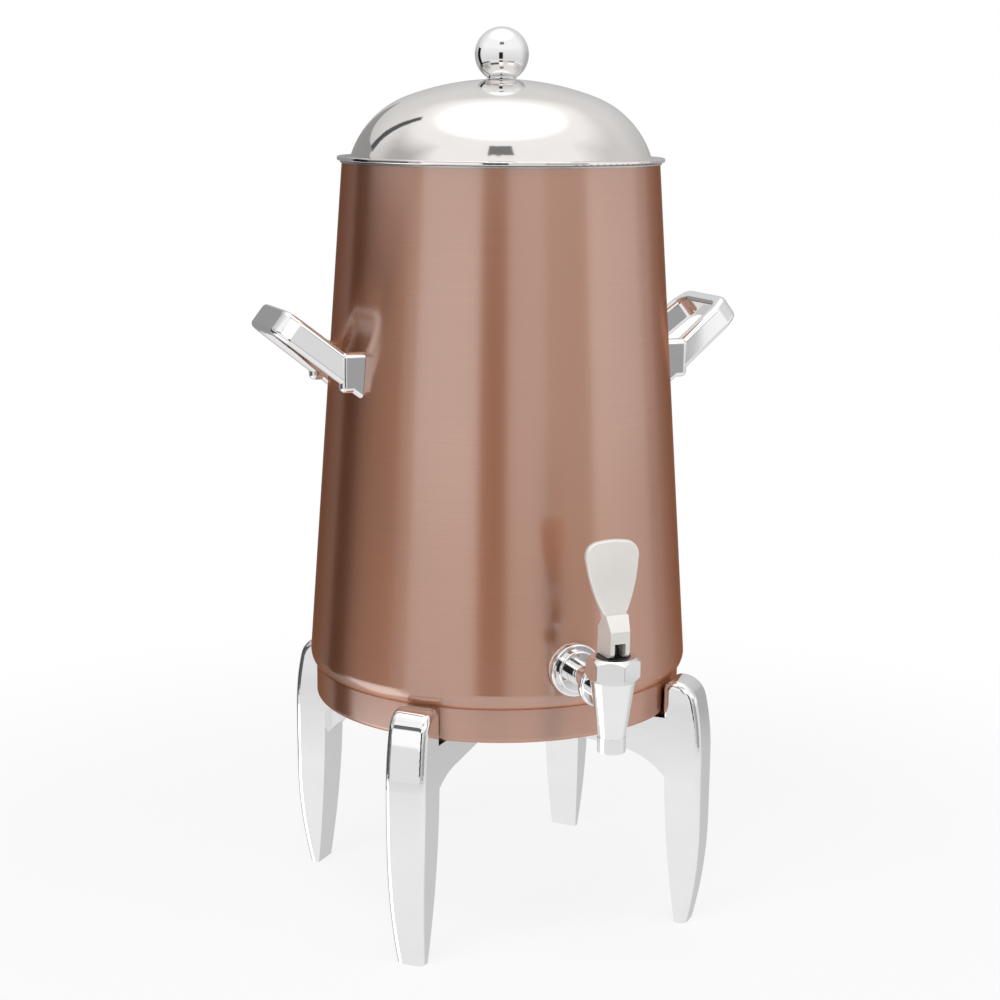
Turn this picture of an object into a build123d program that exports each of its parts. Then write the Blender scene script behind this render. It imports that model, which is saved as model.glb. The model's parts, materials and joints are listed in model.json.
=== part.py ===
from build123d import *

import os
from math import asin, atan2, cos, degrees, pi, radians, sin, sqrt

os.makedirs("parts", exist_ok=True)

# Beverage urn, in millimetres. The origin is on the floor under the body's axis,
# +Z is up, the tap faces -Y and the handles stand out along X.

# Base pan, which closes the bottom and carries the band under the seam
floor_clearance = 141.4
pan_radius = 120.0
pan_height = 21.6
pan_wall = 1.2
pan_corner = 3.0

# Outer shell, a cone that narrows upwards and curls in at its foot
shell_overhang = 4.4
shell_top_radius = 101.3
shell_height = 326.0
shell_wall = 1.0
shell_curl_height = 10.0
shell_seam_inset = 0.4

# Tank inside the shell, with a flange that covers the shell's top edge
insulation_gap = 8.0
tank_wall = 1.0
tank_floor_rise = 9.0
tank_corner = 4.0
tank_flange_overhang = 1.0
insulation_clearance = 0.3
insulation_end_margin = 10.0

# Support between pan and tank
support_plate = 2.0
support_inner_radius = 40.0
support_rim_margin = 6.0
skirt_radius = 100.5
skirt_wall = 1.5

# Lid
lid_lift_gap = 0.3
brim_overhang = 3.0
brim_thickness = 2.7
brim_edge_round = 0.9
dome_height = 48.5
dome_wall = 1.0
dome_foot_inset = 5.6
dome_foot_angle = 18.0
dome_shoulder_radius = 60.0
locating_depth = 12.0
locating_wall = 1.0
locating_clearance = 1.0
locating_flange_gap = 0.5

# Ball knob and its screw
knob_radius = 17.1
knob_centre_rise = 15.1
knob_neck_radius = 8.8
knob_foot_radius = 9.8
knob_foot_height = 1.2
knob_screw_radius = 2.5
knob_screw_depth = 14.0
knob_screw_head_radius = 5.5
knob_screw_head = 3.0

# Handles
handle_rise = 198.0
handle_tilt = 38.0
handle_reach = 57.0
handle_lug_half_width = 36.0
handle_grip_half_width = 26.0
handle_corner_reach = 46.0
handle_corner_half_width = 31.5
handle_arm_thickness = 9.0
handle_grip_thickness = 8.5
handle_band = 17.0
handle_corner_round = 9.0
handle_inner_round = 5.0
handle_edge_round = 3.2
lug_height = 25.0
lug_low_drop = 10.0
lug_standoff = 8.6
lug_edge_round = 3.4
lug_sink = 14.0
handle_screw_radius = 2.0
handle_screw_length = 7.0
handle_screw_head_radius = 4.0
handle_screw_head = 3.0
handle_screw_seat = 0.15

# Legs, each with an arm under the pan
leg_foot_offset = 11.1
leg_foot_depth = 7.5
leg_foot_curve = 70.0
leg_shoulder_drop = 26.4
leg_back_radius = 170.0
leg_shoulder_radius = 16.0
leg_top_rise = 22.8
leg_tip_radius = 6.5
leg_tip_flat = 0.5
leg_inner_bow = 1.8
leg_arch_radius = 18.0
leg_arch_offset = 2.9
leg_lip = 8.9
leg_foot_half_width = 9.3
leg_knee_half_width = 12.7
leg_knee_height = 66.0
leg_top_half_width = 12.9
leg_edge_round = 4.5
leg_pan_clearance = 0.2
arm_end_radius = 28.0
arm_web_width = 16.0
arm_web_end_depth = 18.0
arm_web_bend_radius = 88.0
arm_web_bend_depth = 24.5
arm_web_foot_depth = 43.0
leg_pad = 1.5
leg_pad_inner_radius = 48.0
leg_pad_margin = 2.0
leg_pad_half_width = 11.0

# Leg bolts
bolt_inner_place = 62.0
bolt_outer_place = 90.0
bolt_radius = 3.0
bolt_clearance = 0.3
bolt_head_radius = 5.0
bolt_head = 5.0
bolt_head_room = 0.5
bolt_seat_depth = 6.0
bolt_tail = 1.5
nut_flats = 10.0
nut_height = 5.0

# Tap
tap_neck_length = 25.05
shank_rise = 25.0
shank_radius = 8.0
shank_bore = 5.5
shank_hole_clearance = 0.3
shank_end_length = 12.0
flange_radius_outer = 16.6
flange_length_outer = 4.0
flange_radius_inner = 13.2
flange_length_inner = 3.5
flange_edge_round = 1.4
collar_radius = 13.2
collar_length = 4.8
collar_bonnet_gap = 0.3
gasket_radius = 16.0
gasket_thickness = 1.6
inner_gasket_radius = 11.5
inner_gasket_thickness = 2.6
spacer_radius = 12.0
tap_nut_flats = 22.0
tap_nut_thickness = 6.0
tap_fit = 0.05
valve_top_rise = 8.2
valve_top_radius = 13.4
valve_low_drop = 26.0
valve_low_radius = 8.2
chamber_radius = 9.2
seat_drop = 6.0
outlet_radius = 5.0
spigot_radius = 11.0
spigot_height = 5.8
nozzle_radius = 8.5
nozzle_length = 9.5
nozzle_spigot_radius = 6.4
nozzle_spigot_length = 5.0
nozzle_edge_round = 0.6
bonnet_height = 14.4
bonnet_flats = 28.2
bonnet_roof = 4.6
bonnet_corner = 1.0
bonnet_face_inset = 0.8
gland_rim_radius = 10.2
gland_rim = 1.3
gland_stand = 0.4
gland_sleeve_radius = 7.6
gland_sleeve_depth = 6.0
gland_fit = 0.1

# Tap stem, seat cup and spring
stem_radius = 3.15
stem_button_radius = 5.5
stem_button = 2.5
cup_radius = 8.0
cup_height = 9.5
cup_floor = 5.1
cup_seat_gap = 0.3
cup_fit = 0.1
spring_radius = 5.5
spring_wire = 0.45
spring_turns = 5
spring_end_gap = 0.2

# Tap handle: fork, neck and paddle, turning on a pin through the stem
pin_radius = 1.25
pin_fit = 0.05
pin_end_inset = 0.2
pin_rise = 4.5
cam_offset = 5.1
cam_clearance = 0.3
fork_width = 12.2
fork_depth = 18.0
fork_slot = 7.0
fork_roof = 4.6
fork_height = 16.2
pin_blind_depth = 1.8
neck_height = 25.2
neck_half_width = 7.2
neck_ledge = 1.6
neck_rear_height = 22.0
paddle_thickness = 5.6
paddle_tip_thickness = 4.2
paddle_lean = 5.8
paddle_middle_half_width = 13.3
paddle_middle_height = 40.7
paddle_half_width = 16.6
paddle_widest = 56.5
paddle_round_half_width = 14.9
paddle_round_height = 64.6
paddle_top_half_width = 10.6
paddle_top_height = 67.3
paddle_height = 68.4
paddle_edge_round = 1.5

# Heating under the tank floor
element_ring_radius = 52.0
element_radius = 4.0
element_gap_angle = 20.0
element_bend = 10.0
element_tail = 2.0
element_pin_radius = 1.5
element_pin_length = 3.0
element_touch_gap = 0.1
clamp_radius = 62.0
clamp_plate = 2.0
clamp_tail_room = 5.0
clamp_tab_room = 0.6
stud_radius = 4.0
stud_fit = 0.2
stud_tail = 3.0
clamp_nut_flats = 13.0
clamp_nut_height = 5.0
sensor_radius = 8.0
sensor_place = 27.0
sensor_angles = (180.0, 255.0)
sensor_tab_width = 4.8
sensor_tab_thickness = 0.8
sensor_tab_length = 7.0
sensor_tab_pitch = 8.0

# Wiring
terminal_length = 40.0
terminal_width = 18.0
lead_radius = 1.4
lead_drop = 5.0
lead_bend = 3.5
lead_run = 17.0
terminal_lead_run = 12.0
earth_stud_radius = 2.0
earth_stud_place = 50.0
earth_stud_height = 8.0

# Appliance inlet under the base, at the rear
inlet_place = 75.0
inlet_flange_length = 50.0
inlet_flange_width = 22.5
inlet_flange = 2.0
inlet_flange_corner = 4.0
inlet_body_length = 27.0
inlet_body_width = 20.0
inlet_body_height = 14.6
inlet_socket_length = 24.0
inlet_socket_width = 16.4
inlet_socket_depth = 14.0
inlet_pin_pitch = 7.0
inlet_pin_offset = 1.5
inlet_pin_width = 2.0
inlet_pin_depth = 4.0
inlet_pin_recess = 2.0
inlet_tab_width = 4.8
inlet_tab_thickness = 0.8
inlet_tab_length = 8.0
inlet_fit = 0.3
inlet_screw_pitch = 40.0
inlet_screw_radius = 1.5
inlet_screw_head_radius = 3.0
inlet_screw_head = 1.6
inlet_screw_length = 8.0

# Heights and radii that follow from the sizes above
seam_z = floor_clearance + pan_height
shell_top_z = seam_z + shell_height
shell_foot_radius = pan_radius + shell_overhang
shell_seam_radius = pan_radius - shell_seam_inset
shell_slope = (shell_foot_radius - shell_top_radius) / shell_height
tank_floor_z = seam_z + tank_floor_rise
tank_offset = shell_wall + insulation_gap
flange_z = shell_top_z + tank_wall
brim_z = flange_z + lid_lift_gap
brim_top_z = brim_z + brim_thickness
dome_top_z = brim_top_z + dome_height
arm_top_z = floor_clearance - leg_pad
support_z = floor_clearance + pan_wall
support_top_z = support_z + support_plate


def shell_radius(z, inset=0.0):
    """Radius of the shell's cone at a height, or of a cone inset from it."""
    return shell_foot_radius - shell_slope * (z - seam_z) - inset


def polar(radius, angle, z=0.0):
    """Point at a radius and an angle in degrees about the body's axis."""
    return (radius * cos(radians(angle)), radius * sin(radians(angle)), z)


def turn(points, plane=Plane.XZ):
    """Turns a closed outline of (radius, height) points about the plane's own height axis."""
    with BuildSketch(plane) as outline:
        with BuildLine():
            Polyline(*points, close=True)
        make_face()
    revolve(outline.sketch, axis=Axis(plane.origin, plane.y_dir))


def cone_solid(inset, mode):
    """Solid cone inside the shell, inset from its outside, over the shell's whole height."""
    with Locations((0, 0, seam_z)):
        Cone(
            shell_radius(seam_z, inset),
            shell_radius(shell_top_z, inset),
            shell_height,
            align=(Align.CENTER, Align.CENTER, Align.MIN),
            mode=mode,
        )


upright = (Align.CENTER, Align.CENTER, Align.MIN)
hanging = (Align.CENTER, Align.CENTER, Align.MAX)

# Places of the tap and handles
shank_z = seam_z + shank_rise
shell_front = shell_radius(shank_z)
tank_front = shell_radius(shank_z, tank_offset + tank_wall)
flange_back = shell_front + gasket_thickness
flange_face = flange_back + flange_length_outer + flange_length_inner
bonnet_reach = (bonnet_flats / 2 - bonnet_corner) / cos(radians(30)) + bonnet_corner
collar_front = flange_face + tap_neck_length + collar_length
tap_reach = collar_front + collar_bonnet_gap + bonnet_reach
valve_plane = Plane(origin=(0, -tap_reach, 0), x_dir=(1, 0, 0), z_dir=(0, -1, 0))
shank_plane = Plane(origin=(0, 0, shank_z), x_dir=(0, 0, 1), z_dir=(1, 0, 0))
shank_outward = Plane(origin=(0, 0, shank_z), x_dir=(1, 0, 0), z_dir=(0, -1, 0))
handle_z = seam_z + handle_rise
lug_z = handle_z - lug_low_drop + lug_height / 2
lug_middle = handle_lug_half_width - handle_arm_thickness / 2
lug_angle = degrees(asin(lug_middle / shell_radius(lug_z)))
bolt_places = (bolt_inner_place, bolt_outer_place)
leg_angles = {
    "leg_front_left": 225.0,
    "leg_front_right": 315.0,
    "leg_rear_left": 135.0,
    "leg_rear_right": 45.0,
}
lug_angles = (lug_angle, -lug_angle, 180.0 - lug_angle, 180.0 + lug_angle)


def lug_plane(angle):
    """Plane on the shell under a handle lug, facing out along the shell's normal."""
    outward = Vector(*polar(1.0, angle, shell_slope))
    return Plane(
        origin=polar(shell_radius(lug_z), angle, lug_z),
        x_dir=polar(1.0, angle + 90.0),
        z_dir=outward,
    )


# Base pan
inlet_opening = (inlet_body_length + 2 * inlet_fit, inlet_body_width + 2 * inlet_fit)
with BuildPart() as base_pan:
    with Locations((0, 0, floor_clearance)):
        Cylinder(pan_radius, pan_height, align=upright)
    fillet(base_pan.edges().group_by(Axis.Z)[0], pan_corner)
    with Locations((0, 0, support_z)):
        Cylinder(pan_radius - pan_wall, pan_height, align=upright, mode=Mode.SUBTRACT)
    with Locations((0, 0, floor_clearance)):
        for place in bolt_places:
            with PolarLocations(place, len(leg_angles), start_angle=45):
                Cylinder(bolt_radius + bolt_clearance, 2 * pan_wall + pan_corner, mode=Mode.SUBTRACT)
    with Locations((0, inlet_place, floor_clearance)):
        Box(*inlet_opening, 4 * pan_wall, mode=Mode.SUBTRACT)
        with GridLocations(inlet_screw_pitch, 0, 2, 1):
            Cylinder(inlet_screw_radius + tap_fit, 4 * pan_wall, mode=Mode.SUBTRACT)
base_pan.part.label = "base_pan"
export_step(base_pan.part, "parts/base_pan.step")

# Outer shell: the cone runs down to the curl, which swings in to the seam
curl_z = seam_z + shell_curl_height
with BuildPart() as outer_shell:
    with BuildSketch(Plane.XZ):
        with BuildLine():
            Line((shell_top_radius, shell_top_z), (shell_radius(curl_z), curl_z))
            TangentArc(
                (shell_radius(curl_z), curl_z),
                (shell_seam_radius, seam_z),
                tangent=(shell_slope, -1.0),
            )
            Line((shell_seam_radius, seam_z), (shell_seam_radius - shell_wall, seam_z))
            TangentArc(
                (shell_radius(curl_z, shell_wall), curl_z),
                (shell_seam_radius - shell_wall, seam_z),
                tangent=(shell_slope, -1.0),
            )
            Line(
                (shell_radius(curl_z, shell_wall), curl_z),
                (shell_top_radius - shell_wall, shell_top_z),
            )
            Line((shell_top_radius - shell_wall, shell_top_z), (shell_top_radius, shell_top_z))
        make_face()
    revolve(axis=Axis.Z)
    with Locations(shank_outward):
        Cylinder(
            shank_radius + shank_hole_clearance, 2 * shell_front, align=upright, mode=Mode.SUBTRACT
        )
    with Locations(*[lug_plane(angle) for angle in lug_angles]):
        Cylinder(handle_screw_radius + tap_fit, insulation_gap, mode=Mode.SUBTRACT)
outer_shell.part.label = "outer_shell"
export_step(outer_shell.part, "parts/outer_shell.step")

# Tank with its flange, weld stud and outlet hole
tank_floor_radius = shell_radius(tank_floor_z, tank_offset)
with BuildPart() as inner_tank:
    with Locations((0, 0, tank_floor_z)):
        Cone(
            tank_floor_radius,
            shell_top_radius - tank_offset,
            shell_top_z - tank_floor_z,
            align=upright,
        )
    fillet(inner_tank.edges().group_by(Axis.Z)[0], tank_corner)
    mouth = inner_tank.faces().sort_by(Axis.Z)[-1]
    offset(amount=-tank_wall, openings=mouth)
    flange_radius = shell_top_radius + tank_flange_overhang
    mouth_radius = shell_top_radius - tank_offset - tank_wall
    with Locations((0, 0, shell_top_z)):
        Cylinder(flange_radius, tank_wall, align=upright)
        Cylinder(mouth_radius, tank_wall, align=upright, mode=Mode.SUBTRACT)
    stud_length = 2 * element_radius + element_touch_gap + clamp_plate + clamp_nut_height + stud_tail
    with Locations((0, 0, tank_floor_z)):
        Cylinder(stud_radius, stud_length, align=hanging)
    with Locations(shank_outward):
        Cylinder(
            shank_radius + shank_hole_clearance, 2 * shell_front, align=upright, mode=Mode.SUBTRACT
        )
inner_tank.part.label = "inner_tank"
export_step(inner_tank.part, "parts/inner_tank.step")

# Insulation in the space between shell and tank
insulation_low_z = curl_z + insulation_end_margin
insulation_top_z = shell_top_z - insulation_end_margin
outer_inset = shell_wall + insulation_clearance
inner_inset = tank_offset - insulation_clearance
with BuildPart() as wall_insulation:
    turn(
        [
            (shell_radius(insulation_low_z, outer_inset), insulation_low_z),
            (shell_radius(insulation_top_z, outer_inset), insulation_top_z),
            (shell_radius(insulation_top_z, inner_inset), insulation_top_z),
            (shell_radius(insulation_low_z, inner_inset), insulation_low_z),
        ]
    )
    with Locations(shank_outward):
        Cylinder(
            spacer_radius + insulation_clearance, 2 * shell_front, align=upright, mode=Mode.SUBTRACT
        )
    with Locations(*[lug_plane(angle) for angle in lug_angles]):
        Cylinder(
            handle_screw_head_radius + insulation_clearance,
            2 * (shell_wall + handle_screw_head + insulation_clearance),
            mode=Mode.SUBTRACT,
        )
wall_insulation.part.label = "wall_insulation"
export_step(wall_insulation.part, "parts/wall_insulation.step")

# Tank support: a plate on the pan with a skirt up to the tank floor
with BuildPart() as tank_support:
    with Locations((0, 0, support_z)):
        Cylinder(pan_radius - pan_wall - support_rim_margin, support_plate, align=upright)
        Cylinder(skirt_radius, tank_floor_z - support_z, align=upright)
    with Locations((0, 0, support_top_z)):
        Cylinder(skirt_radius - skirt_wall, tank_floor_z, align=upright, mode=Mode.SUBTRACT)
    with Locations((0, 0, support_z)):
        Cylinder(support_inner_radius, support_plate, align=upright, mode=Mode.SUBTRACT)
        for place in bolt_places:
            with PolarLocations(place, len(leg_angles), start_angle=45):
                Cylinder(bolt_radius + bolt_clearance, 3 * support_plate, mode=Mode.SUBTRACT)
    with Locations((0, inlet_place, support_z)):
        Box(*inlet_opening, 4 * support_plate, mode=Mode.SUBTRACT)
        with GridLocations(inlet_screw_pitch, 0, 2, 1):
            Cylinder(inlet_screw_radius + tap_fit, 4 * support_plate, mode=Mode.SUBTRACT)
    with Locations((0, earth_stud_place, support_top_z)):
        Cylinder(earth_stud_radius, earth_stud_height, align=upright)
tank_support.part.label = "tank_support"
export_step(tank_support.part, "parts/tank_support.step")

# Lid dome: a crown arc and a shoulder arc that run into the flat brim
brim_radius = shell_top_radius + brim_overhang
dome_foot_radius = shell_top_radius - dome_foot_inset
shoulder_x = dome_foot_radius - dome_shoulder_radius * cos(radians(dome_foot_angle))
shoulder_z = brim_top_z - dome_shoulder_radius * sin(radians(dome_foot_angle))
dome_join_angle = 2 * degrees(atan2(dome_top_z - dome_shoulder_radius - shoulder_z, shoulder_x))
dome_crown_radius = dome_shoulder_radius + shoulder_x / sin(radians(dome_join_angle))
crown_centre_z = dome_top_z - dome_crown_radius
screw_hole_radius = knob_screw_radius + pin_fit


def dome_arcs(inset, foot_z):
    """Crown and shoulder arcs, inset from the outside, from the screw hole to a foot height."""
    crown = dome_crown_radius - inset
    shoulder = dome_shoulder_radius - inset
    hole_angle = degrees(asin(screw_hole_radius / crown))
    foot_angle = degrees(asin((foot_z - shoulder_z) / shoulder))
    join_angle = 90.0 - dome_join_angle
    CenterArc((0, crown_centre_z), crown, join_angle, dome_join_angle - hole_angle)
    CenterArc((shoulder_x, shoulder_z), shoulder, foot_angle, join_angle - foot_angle)
    hole_point = (screw_hole_radius, crown_centre_z + crown * cos(radians(hole_angle)))
    foot_point = (shoulder_x + shoulder * cos(radians(foot_angle)), foot_z)
    return hole_point, foot_point


with BuildPart() as lid_dome:
    with BuildSketch(Plane.XZ):
        with BuildLine():
            outer_hole, outer_foot = dome_arcs(0.0, brim_top_z)
            inner_hole, inner_foot = dome_arcs(dome_wall, brim_z)
            Line(outer_hole, inner_hole)
            Polyline(outer_foot, (brim_radius, brim_top_z), (brim_radius, brim_z), inner_foot)
        make_face()
    revolve(axis=Axis.Z)
    rim = lid_dome.faces().filter_by(GeomType.CYLINDER).sort_by(SortBy.AREA)[-1]
    fillet(rim.edges().filter_by(GeomType.CIRCLE), brim_edge_round)
lid_dome.part.label = "lid_dome"
export_step(lid_dome.part, "parts/lid_dome.step")

# Ring under the lid that keeps it on the tank's mouth
locating_radius = mouth_radius - locating_clearance
locating_flange_z = brim_z + locating_flange_gap
locating_flange_top = locating_flange_z + locating_wall
inner_shoulder = dome_shoulder_radius - dome_wall
flange_reach = sqrt(inner_shoulder**2 - (locating_flange_top - shoulder_z) ** 2)
flange_edge = shoulder_x + flange_reach - tap_fit
with BuildPart() as lid_locating_ring:
    turn(
        [
            (locating_radius - locating_wall, flange_z - locating_depth),
            (locating_radius, flange_z - locating_depth),
            (locating_radius, locating_flange_z),
            (flange_edge, locating_flange_z),
            (flange_edge, locating_flange_top),
            (locating_radius - locating_wall, locating_flange_top),
        ]
    )
lid_locating_ring.part.label = "lid_locating_ring"
export_step(lid_locating_ring.part, "parts/lid_locating_ring.step")

# Ball knob with a short neck and foot, drilled for its screw
knob_z = dome_top_z + knob_centre_rise
with BuildPart() as lid_knob:
    with Locations((0, 0, knob_z)):
        Sphere(knob_radius)
    with Locations((0, 0, dome_top_z)):
        Cylinder(knob_radius, 2 * knob_radius, align=hanging, mode=Mode.SUBTRACT)
        Cylinder(knob_neck_radius, knob_centre_rise, align=upright)
        Cone(knob_foot_radius, knob_neck_radius, knob_foot_height, align=upright)
        Cylinder(
            knob_screw_radius + pin_fit,
            knob_screw_depth + pin_fit,
            align=upright,
            mode=Mode.SUBTRACT,
        )
lid_knob.part.label = "lid_knob"
export_step(lid_knob.part, "parts/lid_knob.step")

screw_seat_z = crown_centre_z + sqrt((dome_crown_radius - dome_wall) ** 2 - knob_screw_head_radius**2)
with BuildPart() as knob_screw:
    with Locations((0, 0, screw_seat_z)):
        Cylinder(knob_screw_radius, dome_top_z + knob_screw_depth - screw_seat_z, align=upright)
        Cylinder(knob_screw_head_radius, knob_screw_head, align=hanging)
    fillet(knob_screw.edges().group_by(Axis.Z)[0], knob_screw_head / 3)
knob_screw.part.label = "knob_screw"
export_step(knob_screw.part, "parts/knob_screw.step")


def handle_outline(inset_side, inset_end, sink):
    """Corner points of the handle's loop in its own plane, open at the body's side."""
    side = handle_lug_half_width - inset_side
    corner = handle_corner_half_width - inset_side
    grip = handle_grip_half_width - inset_side
    return [
        (-side, -sink),
        (-side, 0),
        (-corner, handle_corner_reach),
        (-grip, handle_reach - inset_end),
        (grip, handle_reach - inset_end),
        (corner, handle_corner_reach),
        (side, 0),
        (side, -sink),
    ]


# Handles: a band bent into a loop that rises outwards, on two upright lugs
for name, facing in (("handle_left", -1), ("handle_right", 1)):
    rise = radians(handle_tilt)
    loop_plane = Plane(
        origin=(facing * shell_radius(handle_z), 0, handle_z),
        x_dir=(0, -facing, 0),
        z_dir=(-facing * sin(rise), 0, cos(rise)),
    )
    with BuildPart() as handle:
        with BuildSketch(loop_plane):
            with BuildLine():
                outside = FilletPolyline(
                    *handle_outline(0.0, 0.0, lug_sink), radius=handle_corner_round
                )
                Line(outside @ 0, outside @ 1)
            make_face()
            with BuildLine():
                inside = FilletPolyline(
                    *handle_outline(handle_arm_thickness, handle_grip_thickness, 2 * lug_sink),
                    radius=handle_inner_round,
                )
                Line(inside @ 0, inside @ 1)
            make_face(mode=Mode.SUBTRACT)
        extrude(amount=handle_band / 2, both=True)
        fillet(handle.edges(), handle_edge_round)
        lug_reach = shell_radius(lug_z) + lug_standoff
        with Locations(*[(facing * lug_reach, side * lug_middle, lug_z) for side in (-1, 1)]):
            lugs = Box(
                lug_sink + lug_standoff,
                handle_arm_thickness,
                lug_height,
                align=(Align.MAX if facing > 0 else Align.MIN, Align.CENTER, Align.CENTER),
                mode=Mode.PRIVATE,
            )
        add(lugs.fillet(lug_edge_round, lugs.edges()))
        cone_solid(-tap_fit, Mode.SUBTRACT)
        with Locations(*[lug_plane(angle) for angle in lug_angles]):
            Cylinder(
                handle_screw_radius + tap_fit, 2 * handle_screw_length, mode=Mode.SUBTRACT
            )
    handle.part.label = name
    export_step(handle.part, f"parts/{name}.step")

with BuildPart() as handle_screws:
    for angle in lug_angles:
        with Locations(lug_plane(angle)):
            with Locations((0, 0, -shell_wall - handle_screw_seat)):
                Cylinder(handle_screw_radius, handle_screw_length, align=upright)
                Cylinder(handle_screw_head_radius, handle_screw_head, align=hanging)
handle_screws.part.label = "handle_screws"
export_step(handle_screws.part, "parts/handle_screws.step")

# Legs: a side outline (radius, height) across the leg's width, trimmed by a front outline,
# with a narrower web under the arm
leg_back_turn = asin(
    (leg_top_rise + leg_shoulder_drop - leg_shoulder_radius)
    / (leg_back_radius - leg_shoulder_radius)
)
leg_face = pan_radius + leg_pan_clearance
leg_top_z = floor_clearance + leg_top_rise
leg_top_x = leg_face + leg_tip_radius + leg_tip_flat
leg_shoulder_x = leg_top_x + leg_shoulder_radius * cos(leg_back_turn)
leg_shoulder_z = leg_top_z - leg_shoulder_radius * (1 - sin(leg_back_turn))
leg_bulge_x = leg_shoulder_x + leg_back_radius * (1 - cos(leg_back_turn))
leg_bulge_z = floor_clearance - leg_shoulder_drop
leg_foot_x = pan_radius + leg_foot_offset
lip_z = arm_top_z - leg_lip
arch_x = pan_radius + leg_arch_offset
arch_z = lip_z - leg_arch_radius
bolt_seat_z = arm_top_z - bolt_seat_depth

for name, angle in leg_angles.items():
    outward = Vector(*polar(1.0, angle))
    across = Vector(*polar(1.0, angle + 90.0))
    side_plane = Plane(origin=(0, 0, 0), x_dir=outward, z_dir=-across)
    front_plane = Plane(origin=(0, 0, 0), x_dir=across, z_dir=outward)
    with BuildPart() as leg:
        with BuildSketch(side_plane):
            with BuildLine():
                Line((leg_foot_x, 0), (leg_foot_x + leg_foot_depth, 0))
                TangentArc(
                    (leg_bulge_x, leg_foot_curve),
                    (leg_foot_x + leg_foot_depth, 0),
                    tangent=(0, -1),
                )
                Line((leg_bulge_x, leg_foot_curve), (leg_bulge_x, leg_bulge_z))
                TangentArc(
                    (leg_bulge_x, leg_bulge_z), (leg_shoulder_x, leg_shoulder_z), tangent=(0, 1)
                )
                TangentArc(
                    (leg_top_x, leg_top_z), (leg_shoulder_x, leg_shoulder_z), tangent=(1, 0)
                )
                Line((leg_top_x, leg_top_z), (leg_face + leg_tip_radius, leg_top_z))
                TangentArc(
                    (leg_face + leg_tip_radius, leg_top_z),
                    (leg_face, leg_top_z - leg_tip_radius),
                    tangent=(-1, 0),
                )
                Polyline(
                    (leg_face, leg_top_z - leg_tip_radius),
                    (leg_face, arm_top_z),
                    (arm_end_radius, arm_top_z),
                    (arm_end_radius, lip_z),
                    (arch_x - leg_arch_radius, lip_z),
                )
                TangentArc(
                    (arch_x - leg_arch_radius, lip_z), (arch_x, arch_z), tangent=(1, 0)
                )
                ThreePointArc(
                    (arch_x, arch_z),
                    ((arch_x + leg_foot_x) / 2 - leg_inner_bow, arch_z / 2),
                    (leg_foot_x, 0),
                )
            make_face()
        extrude(amount=2 * leg_top_half_width, both=True)
        with BuildSketch(front_plane):
            with BuildLine():
                right_edge = ThreePointArc(
                    (leg_foot_half_width, 0),
                    (leg_knee_half_width, leg_knee_height),
                    (leg_top_half_width, leg_top_z),
                )
                left_edge = ThreePointArc(
                    (-leg_foot_half_width, 0),
                    (-leg_knee_half_width, leg_knee_height),
                    (-leg_top_half_width, leg_top_z),
                )
                Line(right_edge @ 0, left_edge @ 0)
                Line(right_edge @ 1, left_edge @ 1)
            make_face()
        extrude(amount=2 * leg_bulge_x, mode=Mode.INTERSECT)
        side_edges = leg.edges().filter_by(
            lambda edge: abs(edge.center().dot(across)) > leg_foot_half_width / 2
            and edge.center().Z > leg_edge_round
        )
        back_edges = side_edges.filter_by(lambda edge: edge.center().dot(outward) > leg_foot_x)
        top_edges = side_edges.filter_by(
            lambda edge: edge.center().Z > floor_clearance
            and leg_face + leg_tip_flat < edge.center().dot(outward) <= leg_foot_x
        )
        fillet(back_edges + top_edges, leg_edge_round)
        with BuildSketch(side_plane):
            with BuildLine():
                end_low = (arm_end_radius, arm_top_z - arm_web_end_depth)
                bend = (arm_web_bend_radius, arm_top_z - arm_web_bend_depth)
                foot_low = (arch_x, arm_top_z - arm_web_foot_depth)
                Line(end_low, bend)
                TangentArc(
                    bend,
                    foot_low,
                    tangent=(
                        arm_web_bend_radius - arm_end_radius,
                        arm_web_end_depth - arm_web_bend_depth,
                    ),
                )
                Polyline(
                    foot_low,
                    (arch_x + leg_lip, foot_low[1]),
                    (arch_x + leg_lip, lip_z + leg_lip / 2),
                    (arm_end_radius, lip_z + leg_lip / 2),
                    end_low,
                )
            make_face()
        extrude(amount=arm_web_width / 2, both=True)
        for place in bolt_places:
            with Locations((*polar(place, angle)[:2], bolt_seat_z)):
                Cylinder(
                    bolt_head_radius + bolt_head_room, bolt_seat_z, align=hanging, mode=Mode.SUBTRACT
                )
                Cylinder(
                    bolt_radius + bolt_clearance, bolt_seat_z, align=upright, mode=Mode.SUBTRACT
                )
    leg.part.label = name
    export_step(leg.part, f"parts/{name}.step")

# Pads between the arms and the pan
pad_outer_radius = pan_radius - pan_corner - leg_pad_margin
with BuildPart() as leg_pads:
    with Locations((0, 0, arm_top_z)):
        pad_place = (leg_pad_inner_radius + pad_outer_radius) / 2
        with PolarLocations(pad_place, len(leg_angles), start_angle=45):
            Box(
                pad_outer_radius - leg_pad_inner_radius,
                2 * leg_pad_half_width,
                leg_pad,
                align=upright,
            )
        for place in bolt_places:
            with PolarLocations(place, len(leg_angles), start_angle=45):
                Cylinder(bolt_radius + bolt_clearance, 4 * leg_pad, mode=Mode.SUBTRACT)
leg_pads.part.label = "leg_pads"
export_step(leg_pads.part, "parts/leg_pads.step")

with BuildPart() as leg_bolts:
    with Locations((0, 0, bolt_seat_z)):
        for place in bolt_places:
            with PolarLocations(place, len(leg_angles), start_angle=45):
                Cylinder(
                    bolt_radius, support_top_z + nut_height + bolt_tail - bolt_seat_z, align=upright
                )
                Cylinder(bolt_head_radius, bolt_head, align=hanging)
leg_bolts.part.label = "leg_bolts"
export_step(leg_bolts.part, "parts/leg_bolts.step")

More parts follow.
